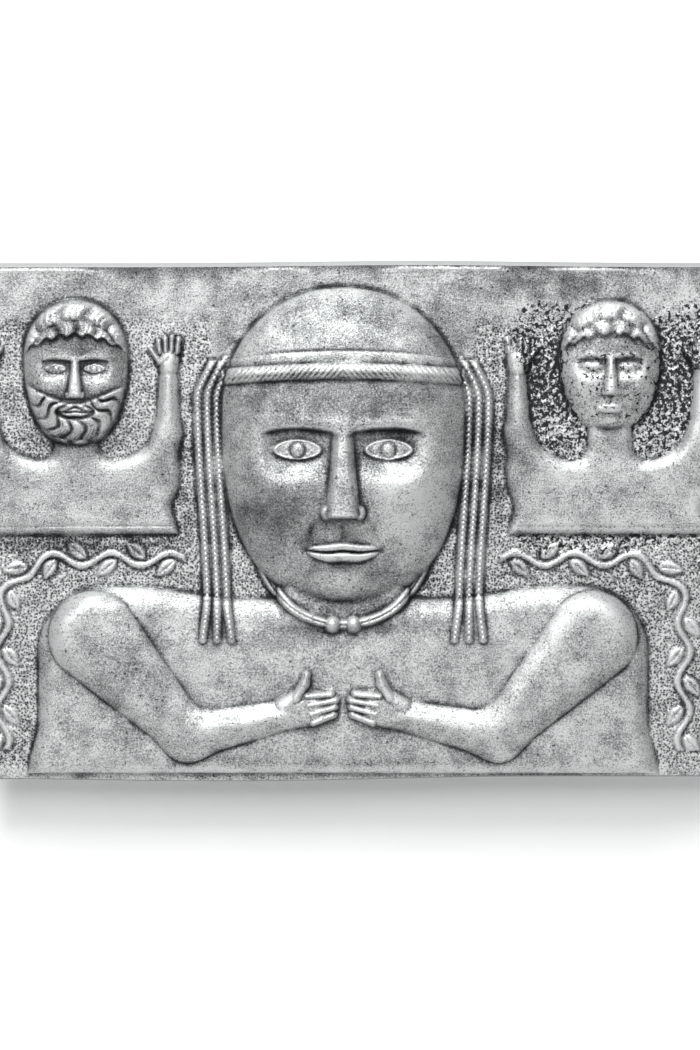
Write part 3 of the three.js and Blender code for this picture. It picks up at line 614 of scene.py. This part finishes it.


# Places where the silver is duller or brighter than around, with one band of painted shadow under the
# headband: x, v, half-width, half-height, change.
STAINS = (
    # the cap
    (0, 84, 42, 14, 0.24), (6, 86, 12, 5, 0.16), (44, 74, 8, 14, 0.18),
    # the large face, first a band of painted shadow under the headband, then all over, then its cheeks
    (0, 50, 46, 9, 0.22), (0, 16, 42, 38, 0.16),
    (-29, 4, 14, 14, 0.22), (28, 10, 16, 18, -0.16), (28, 6, 12, 14, -0.4),
    # the small heads, faces and shoulders
    (-108, 80, 18, 12, 0.26), (108, 80, 18, 12, 0.26),
    (-108, 60, 18, 24, 0.14), (108, 60, 18, 24, 0.14),
    (-108, 30, 30, 5, 0.22), (108, 30, 30, 5, 0.22),
    # at and below the small busts' feet
    (-100, -8, 42, 3, 0.2), (-100, -9, 42, 4, 0.22), (100, 10, 44, 12, 0.1), (98, -18, 34, 8, 0.15),
    # the ground beside the plaits and the raised hands
    (66, 22, 8, 34, 0.3), (-68, 22, 7, 24, 0.3), (-70, 58, 7, 24, -0.25), (-88, 52, 5, 22, 0.12),
    # shoulders, breast and arms
    (-88, -60, 15, 14, 0.2), (0, -33, 90, 5, 0.1), (0, -43, 40, 6, 0.14),
    (-102, -36, 12, 6, 0.12), (-103, -36, 16, 10, -0.1), (103, -36, 16, 12, -0.1),
    # the margins at the top and the foot
    (82, 97, 26, 7, 0.42), (-108, 97, 30, 6, 0.1), (0, 99, 130, 4, -0.1), (0, 104, 160, 4, 0.12),
    (0, -97, 60, 1.6, 0.16),
)


def tarnish_and_shade_of(x, v, plain, height):
    """Dark patina in hollows, painted shade under overhangs and, less, on slopes that face right, a painted
    highlight on slopes that face up, and bright where hands and cloths have rubbed.
    """
    small = blur(height, 2) - height
    wide = blur(plain, 10) - plain
    up = np.gradient(plain, axis=0) / CELL
    right = np.gradient(plain, axis=1) / CELL
    uneven_strength = (2.2 * layered_noise(x, v, 11, 71) - 0.25) * off_bottom(v)
    # painted shade: slopes that face down are darker, slopes that face right darker too, and those that face
    # left a little
    shade = 0.28 * clamp(up * 0.5) + 0.2 * clamp(-right * 0.4) + 0.06 * clamp(right * 0.4)
    tarnish_and_shade = 0.2 + uneven_strength * (0.52 * clamp(small * 2.1) + 0.12 * clamp(wide * 0.5) + shade)
    # rubbed high points and broad rises are brighter, and slopes that face up are lighter as a painted
    # highlight
    tarnish_and_shade = tarnish_and_shade - 0.3 * clamp(-small * 2) - 0.12 * clamp(-wide * 0.4) - 0.1 * clamp(-up * 0.5)
    blotches = 0.2 + 1.6 * layered_noise(x, v, 9, 31)
    for stain_x, stain_v, half_x, half_v, change in STAINS:
        spot = bell(np.hypot((x - stain_x) / half_x, (v - stain_v) / half_v), 1)
        tarnish_and_shade = tarnish_and_shade + change * spot * blotches
    return tarnish_and_shade + 0.3 * (layered_noise(x, v, 7, 41) - 0.5)


# ---------------------------------------------------------------- thinning the grid to triangles


def place(s, t, inset):
    """A place on the plate from s across and t up, drawn in from the edges by the bevels."""
    v = mix(-PLATE_HEIGHT / 2 + inset * EDGE_BEVEL, PLATE_HEIGHT / 2 - inset * TOP_BEVEL, t)
    half = mix(BOTTOM_HALF, TOP_HALF, v / PLATE_HEIGHT + 0.5) - inset * EDGE_BEVEL
    top_wear = 0.9 * bell(s - 0.6, 0.2)
    bottom_wear = 1.1 * smooth(s / 0.9) - 1.3 * np.sin(np.pi * clamp(s / 0.75)) ** 2
    return mix(-half, half, s), v + mix(bottom_wear, top_wear, t)


def grid_places(inset):
    s, t = np.meshgrid(np.linspace(0, 1, COLUMNS + 1), np.linspace(0, 1, ROWS + 1))
    return place(s, t, inset)


def misses_between(field, error, step):
    """What leaving out the points halfway between two others in a column would miss."""
    below, above = field[:-step:2 * step, ::2 * step], field[2 * step::2 * step, ::2 * step]
    miss = np.abs(field[step::2 * step, ::2 * step] - (below + above) / 2)
    if step == 1:
        return miss
    centres = error[step // 2::step, step // 2::step]
    around = np.pad(centres, ((0, 0), (1, 1)))
    pairs = np.maximum(around[::2], around[1::2])
    return np.maximum(miss, np.maximum(pairs[:, :-1:2], pairs[:, 1::2]))


def misses_at_centres(field, error, step):
    """What leaving out the points in the middle of four others would miss."""
    low, high = field[:-step:2 * step], field[2 * step::2 * step]
    middle = field[step::2 * step, step::2 * step]
    main = (low[:, :-step:2 * step] + high[:, 2 * step::2 * step]) / 2
    other = (low[:, 2 * step::2 * step] + high[:, :-step:2 * step]) / 2
    rows, columns = np.indices(middle.shape)
    miss = np.abs(middle - np.where(rows % 2 == columns % 2, main, other))
    sides = error[step::2 * step, ::2 * step]
    ends = error[::2 * step, step::2 * step]
    miss = np.maximum(miss, np.maximum(sides[:, :-1], sides[:, 1:]))
    return np.maximum(miss, np.maximum(ends[:-1], ends[1:]))


def grid_errors(field):
    """For each point, the most that leaving out it or a point that depends on it would miss."""
    error = np.zeros_like(field)
    step = 1
    while step < TILE:
        error[step::2 * step, ::2 * step] = misses_between(field, error, step)
        error.T[step::2 * step, ::2 * step] = misses_between(field.T, error.T, step)
        error[step::2 * step, step::2 * step] = misses_at_centres(field, error, step)
        step *= 2
    return error


def root_triangles():
    """The two triangles of each tile, turned in every other tile so that neighbours meet."""
    for j in range(ROWS // TILE):
        for i in range(COLUMNS // TILE):
            x0, y0, x1, y1 = i * TILE, j * TILE, (i + 1) * TILE, (j + 1) * TILE
            if (i + j) % 2:
                yield (x0, y1, x1, y0, x1, y1)
                yield (x1, y0, x0, y1, x0, y0)
            else:
                yield (x1, y1, x0, y0, x1, y0)
                yield (x0, y0, x1, y1, x0, y1)


def thin(error):
    """Halves right triangles along their long sides until no error over 1 is left out."""
    current = np.array(list(root_triangles()))
    done = []
    while len(current):
        ax, ay, bx, by, cx, cy = current.T
        mx, my = (ax + bx) // 2, (ay + by) // 2
        large = np.abs(ax - cx) + np.abs(ay - cy) > 1
        split = large & (error[my, mx] > 1)
        done.append(current[~split])
        ax, ay, bx, by, cx, cy, mx, my = (c[split] for c in (ax, ay, bx, by, cx, cy, mx, my))
        first = np.stack([cx, cy, ax, ay, mx, my], 1)
        second = np.stack([bx, by, cx, cy, mx, my], 1)
        current = np.concatenate([first, second])
    corners = np.concatenate(done)
    return corners[:, 1::2] * (COLUMNS + 1) + corners[:, ::2]


def rim_of(triangles):
    """The grid points along the plate's rim that the triangles use, counter-clockwise with their places."""
    points = np.unique(triangles)
    x, y = points % (COLUMNS + 1), points // (COLUMNS + 1)
    lap = 2 * (COLUMNS + ROWS)
    along = np.where(y == 0, x, np.where(x == COLUMNS, COLUMNS + y,
                     np.where(y == ROWS, 2 * COLUMNS + ROWS - x, np.where(x == 0, lap - y, -1))))
    rim = along >= 0
    order = np.argsort(along[rim])
    return along[rim][order], points[rim][order]


def band(front_along, front, back_along, back):
    """Triangles that join two rims of the same outline."""
    lap = 2 * (COLUMNS + ROWS)
    i = j = 0
    faces = []
    while i < len(front) or j < len(back):
        a, b = front[i % len(front)], back[j % len(back)]
        place_a = front_along[(i + 1) % len(front)] + (lap if i + 1 >= len(front) else 0)
        place_b = back_along[(j + 1) % len(back)] + (lap if j + 1 >= len(back) else 0)
        if j >= len(back) or (i < len(front) and place_a <= place_b):
            faces.append((a, b, front[(i + 1) % len(front)]))
            i += 1
        else:
            faces.append((a, b, back[(j + 1) % len(back)]))
            j += 1
    return faces


def hollow_behind(front):
    """Depth of the back surface: the front drawn in by the sheet's thickness."""
    reach = int(SHEET / CELL)
    depth = np.full_like(front, np.inf)
    padded = np.pad(front, reach)
    for dr in range(-reach, reach + 1):
        for dc in range(-reach, reach + 1):
            away = math.hypot(dr, dc) * CELL
            if away < SHEET:
                cap = SHEET - math.sqrt(SHEET ** 2 - away ** 2)
                part = padded[reach + dr:reach + dr + ROWS + 1, reach + dc:reach + dc + COLUMNS + 1]
                depth = np.minimum(depth, part + cap)
    return np.maximum(0, depth - 0.4)


# ---------------------------------------------------------------- the mesh


def to_frame(x, depth, v):
    """Points of the frame from places on the drawing and depths forward of the back."""
    return np.stack([x * UNIT, HIGH.y - depth * UNIT, (v - ORIGIN_V) * UNIT], -1)


class MeshParts:
    """Vertices, faces and four marks at each vertex, gathered surface by surface."""

    # the first mark holds tarnish together with painted shade and highlights
    MARKS = ("tarnish_and_shade", "corroded", "punched", "worn")

    def __init__(self):
        self.points, self.faces, self.smooth, self.marks = [], [], [], []
        self.count = 0

    def add_points(self, points, tarnish_and_shade, corroded=0.0, punched=0.0, worn=0.0):
        numbers = self.count + np.arange(len(points))
        self.points.append(points)
        marks = [np.broadcast_to(mark, len(points)) for mark in (tarnish_and_shade, corroded, punched, worn)]
        self.marks.append(np.stack(marks, 1))
        self.count += len(points)
        return numbers

    def add_faces(self, faces, is_smooth):
        self.faces.append(np.asarray(faces))
        self.smooth.append(np.full(len(faces), is_smooth))

    def add_surface(self, triangles, places, depth, *fields):
        used, index = np.unique(triangles, return_inverse=True)
        x, v = (p.ravel()[used] for p in places)
        marks = (field.ravel()[used] for field in fields)
        numbers = self.add_points(to_frame(x, depth.ravel()[used], v), *marks)
        self.add_faces(numbers[index].reshape(-1, 3), True)
        return dict(zip(used.tolist(), numbers.tolist()))

    def build(self, name):
        mesh = bpy.data.meshes.new(name)
        points, faces = np.concatenate(self.points), np.concatenate(self.faces)
        mesh.from_pydata(points.tolist(), [], faces.tolist())
        mesh.polygons.foreach_set("use_smooth", np.concatenate(self.smooth))
        marks = np.concatenate(self.marks).astype(np.float32)
        for i, title in enumerate(self.MARKS):
            attribute = mesh.attributes.new(title, "FLOAT", "POINT")
            attribute.data.foreach_set("value", np.ascontiguousarray(marks[:, i]))
        mesh.validate()
        made = bpy.data.objects.new(name, mesh)
        bpy.context.scene.collection.objects.link(made)
        return made


def silver_sheet():
    inner, outer = grid_places(1), grid_places(0)
    height, tarnish_and_shade, corroded, punched = worked_surface(*inner)
    front_error = np.maximum(grid_errors(height) / FRONT_TOLERANCE, grid_errors(tarnish_and_shade) / TARNISH_AND_SHADE_TOLERANCE)
    front = thin(front_error)
    hollow = hollow_behind(relief(*outer))
    back = thin(grid_errors(hollow) / BACK_TOLERANCE)[:, ::-1]
    back_tarnish = 0.35 + 0.5 * (layered_noise(*outer, 14, 61) - 0.5) + 0.2 * clamp(hollow / 12)

    parts = MeshParts()
    parts.add_surface(front, inner, SHEET + height, tarnish_and_shade, corroded, punched)
    back_points = parts.add_surface(back, outer, hollow, back_tarnish, corroded * 0.3)
    along, rim = rim_of(front)
    front_x, depth, front_v = (field.ravel()[rim] for field in (inner[0], SHEET + height, inner[1]))
    bevel = parts.add_points(to_frame(front_x, depth, front_v), 0.36, worn=1.0)
    edge_x, edge_v = (field.ravel()[rim] for field in outer)
    edge_depth = np.full(len(rim), BEVEL_LEAVES)
    edge = parts.add_points(to_frame(edge_x, edge_depth, edge_v), 0.4, worn=1.0)
    back_along, back_rim = rim_of(back)
    parts.add_faces(band(along, bevel.tolist(), along, edge.tolist()), False)
    back_edge = [back_points[point] for point in back_rim.tolist()]
    parts.add_faces(band(along, edge.tolist(), back_along, back_edge), False)
    return parts.build("silver_sheet")


# ---------------------------------------------------------------- material

# The silver's colour at rising tarnish and painted shade.
SILVER_COLOURS = (
    (0.0, (0.62, 0.635, 0.632)),
    (0.3, (0.32, 0.332, 0.33)),
    (0.62, (0.12, 0.126, 0.127)),
    (1.0, (0.018, 0.02, 0.022)),
)


class Nodes:
    """Short ways to add and join shader nodes."""

    def __init__(self, name):
        self.material = bpy.data.materials.new(name)
        self.material.use_nodes = True
        self.tree = self.material.node_tree
        self.tree.nodes.clear()

    def add(self, kind, inputs=(), **settings):
        node = self.tree.nodes.new(kind)
        for key, value in settings.items():
            setattr(node, key, value)
        for key, value in dict(inputs).items():
            if isinstance(value, bpy.types.NodeSocket):
                self.tree.links.new(value, node.inputs[key])
            else:
                node.inputs[key].default_value = value
        return node

    def math(self, operation, a, b, clamped=False):
        node = self.add("ShaderNodeMath", {0: a, 1: b}, operation=operation, use_clamp=clamped)
        return node.outputs[0]

    def above(self, value, level, gain, clamped=False):
        """How far a value is above a level, times a gain."""
        return self.math("MULTIPLY", self.math("SUBTRACT", value, level), gain, clamped)

    def mark(self, title):
        """One of the marks that the mesh holds at its vertices."""
        return self.add("ShaderNodeAttribute", attribute_name=title).outputs["Fac"]

    def noise(self, where, size, detail=2.0, roughness=0.5):
        """Noise with bumps about size millimetres across."""
        inputs = {"Vector": where, "Scale": 1 / (size * UNIT), "Detail": detail, "Roughness": roughness}
        return self.add("ShaderNodeTexNoise", inputs).outputs["Fac"]


def with_patina(nodes, where, tarnish_and_shade, grain, specks):
    """The tarnish and painted shade with their grain, clouds, dark specks and the streaks that rubbing left.
    """
    clouds = nodes.noise(where, 9, 4.0, 0.65)
    rubbed = nodes.add("ShaderNodeMapping", {"Vector": where, "Rotation": (0, 0.35, 0), "Scale": (1, 1, 5)})
    streaks = nodes.noise(rubbed.outputs["Vector"], 4.5, 4.0, 0.6)
    total = nodes.math("ADD", tarnish_and_shade, nodes.above(grain, 0.5, 1.8))
    total = nodes.math("ADD", total, nodes.above(clouds, 0.5, 0.85))
    total = nodes.math("ADD", total, nodes.above(specks, 0.61, 4.5, True))
    return nodes.math("ADD", total, nodes.above(streaks, 0.5, 0.35))


def with_corrosion(nodes, where, total):
    """The tarnish and painted shade with black patches where the silver is eaten, and brighter metal between
    them.
    """
    corroded = nodes.mark("corroded")
    patches = nodes.noise(where, 1.9, 4.0, 0.6)
    limit = nodes.math("MULTIPLY", corroded, 0.61)
    eaten = nodes.above(limit, patches, 14.0, True)
    between = nodes.math("MULTIPLY", corroded, -0.16)
    return nodes.math("ADD", nodes.math("ADD", total, between), eaten)


def with_dots(nodes, where, total):
    """The tarnish and painted shade with a dot of dirt in each mark of the punch."""
    face_on = nodes.add("ShaderNodeMapping", {"Vector": where, "Rotation": (math.pi / 2, 0, 0)})
    cells = {"Vector": face_on.outputs["Vector"], "Scale": 1 / (DOT_PITCH * UNIT), "Randomness": 0.85}
    away = nodes.add("ShaderNodeTexVoronoi", cells, voronoi_dimensions="2D").outputs["Distance"]
    dot = nodes.above(away, 0.42, -3.6, True)
    dirt = nodes.math("MULTIPLY", nodes.math("MULTIPLY", dot, nodes.mark("punched")), 0.62)
    return nodes.math("ADD", total, dirt)


def with_worn_edges(nodes, total, tarnish_and_shade):
    """Plain tarnish on the worn edges, and the total elsewhere."""
    worn = nodes.mark("worn")
    elsewhere = nodes.math("MULTIPLY", total, nodes.math("SUBTRACT", 1.0, worn))
    return nodes.math("ADD", elsewhere, nodes.math("MULTIPLY", tarnish_and_shade, worn), True)


def silver_colour(nodes, total):
    """From worn bright silver to black."""
    ramp = nodes.add("ShaderNodeValToRGB", {"Fac": total})
    elements = ramp.color_ramp.elements
    while len(elements) < len(SILVER_COLOURS):
        elements.new(0.5)
    for element, (position, colour) in zip(elements, SILVER_COLOURS):
        element.position = position
        element.color = (*colour, 1)
    return ramp.outputs["Color"]


def silver_material():
    nodes = Nodes("tarnished_silver")
    where = nodes.add("ShaderNodeTexCoord").outputs["Object"]
    # the mesh's first mark: tarnish with painted shade and highlights
    tarnish_and_shade = nodes.mark("tarnish_and_shade")
    grain = nodes.noise(where, 0.62, 3.0, 0.7)
    specks = nodes.noise(where, 1.15, 2.0, 0.6)
    total = with_patina(nodes, where, tarnish_and_shade, grain, specks)
    total = with_corrosion(nodes, where, total)
    total = with_dots(nodes, where, total)
    total = with_worn_edges(nodes, total, tarnish_and_shade)
    height = nodes.math("ADD", grain, nodes.math("MULTIPLY", specks, 0.6))
    bump = nodes.add("ShaderNodeBump", {"Strength": 0.6, "Distance": 0.3 * UNIT, "Height": height})
    shader = nodes.add("ShaderNodeBsdfPrincipled", {
        "Base Color": silver_colour(nodes, total),
        "Metallic": 0.72,
        "Roughness": nodes.math("ADD", 0.5, nodes.math("MULTIPLY", total, 0.22)),
        "Normal": bump.outputs["Normal"],
    })
    nodes.add("ShaderNodeOutputMaterial", {"Surface": shader.outputs["BSDF"]})
    return nodes.material


# ---------------------------------------------------------------- the stage


def plain_material(name, grey):
    """Matt paint that is only there from its front, so that the plaque's back can be seen past the wall."""
    nodes = Nodes(name)
    behind = nodes.add("ShaderNodeNewGeometry").outputs["Backfacing"]
    matt = nodes.add("ShaderNodeBsdfPrincipled", {
        "Base Color": (grey, grey, grey, 1),
        "Roughness": 0.9,
    })
    clear = nodes.add("ShaderNodeBsdfTransparent")
    either = nodes.add("ShaderNodeMixShader", {0: behind, 1: matt.outputs[0], 2: clear.outputs[0]})
    nodes.add("ShaderNodeOutputMaterial", {"Surface": either.outputs[0]})
    return nodes.material


def plane(name, centre, across, up, material):
    """A rectangle that faces along the cross product of its two half-sides."""
    centre, across, up = Vector(centre), Vector(across), Vector(up)
    corners = [centre - across - up, centre + across - up, centre + across + up, centre - across + up]
    mesh = bpy.data.meshes.new(name)
    mesh.from_pydata([tuple(c) for c in corners], [], [(0, 1, 2, 3)])
    made = bpy.data.objects.new(name, mesh)
    made.data.materials.append(material)
    bpy.context.scene.collection.objects.link(made)
    made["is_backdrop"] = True
    return made


def area_light(name, location, aim, size, power):
    light = bpy.data.lights.new(name, "AREA")
    light.shape = "RECTANGLE"
    light.size, light.size_y = size
    light.energy = power
    made = bpy.data.objects.new(name, light)
    made.location = location
    made.rotation_euler = (aim - Vector(location)).to_track_quat("-Z", "Y").to_euler()
    bpy.context.scene.collection.objects.link(made)


def build_stage(middle):
    """A pale wall just behind the plaque, which casts no shadow on it, a floor and three soft lights."""
    wall_at = (middle.x, HIGH.y + WALL_GAP, middle.z)
    wall = plane("wall", wall_at, (1.2, 0, 0), (0, 0, 0.9), plain_material("wall_paint", 0.93))
    wall.visible_shadow = False
    floor_at = (middle.x, -0.6, middle.z - FLOOR_BELOW)
    plane("floor", floor_at, (1.2, 0, 0), (0, 0.9, 0), plain_material("floor_paint", 0.5))
    area_light("key", (middle.x - 0.2, -1.1, middle.z + 1.5), middle, (1.0, 1.0), 44)
    area_light("front_fill", (middle.x - 0.45, -1.9, middle.z + 0.9), middle, (1.6, 0.9), 20)
    area_light("back_fill", (middle.x + 0.5, 1.6, middle.z + 0.8), middle, (1.2, 0.8), 16)
    world = bpy.data.worlds.new("studio")
    world.use_nodes = True
    background = world.node_tree.nodes["Background"].inputs
    background["Color"].default_value = (0.93, 0.95, 0.96, 1)
    background["Strength"].default_value = 0.2
    bpy.context.scene.world = world


def build_camera():
    """A long lens, square to the plaque and a little above it."""
    aim = Vector((VIEW_CENTRE[0] * UNIT, HIGH.y, (VIEW_CENTRE[1] - ORIGIN_V) * UNIT))
    back = Vector((0, -math.cos(CAMERA_RAISED), math.sin(CAMERA_RAISED)))
    camera = bpy.data.cameras.new("camera")
    camera.sensor_width = 36
    camera.lens = camera.sensor_width * CAMERA_AWAY / (VIEW_HEIGHT * UNIT)
    camera.clip_end = 20
    made = bpy.data.objects.new("camera", camera)
    made.location = aim + CAMERA_AWAY * back
    made.rotation_euler = (-back).to_track_quat("-Z", "Y").to_euler()
    bpy.context.scene.collection.objects.link(made)
    bpy.context.scene.camera = made


# ---------------------------------------------------------------- putting it together

sheet = silver_sheet()
sheet.data.materials.append(silver_material())
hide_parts("plaque")
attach(sheet, "root")

bpy.context.scene.view_settings.view_transform = "Standard"
build_stage((LOW + HIGH) / 2)
build_camera()

boxes = {"cad": [list(corner) for corner in CAD_BOX], "visual": [list(corner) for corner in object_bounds()]}
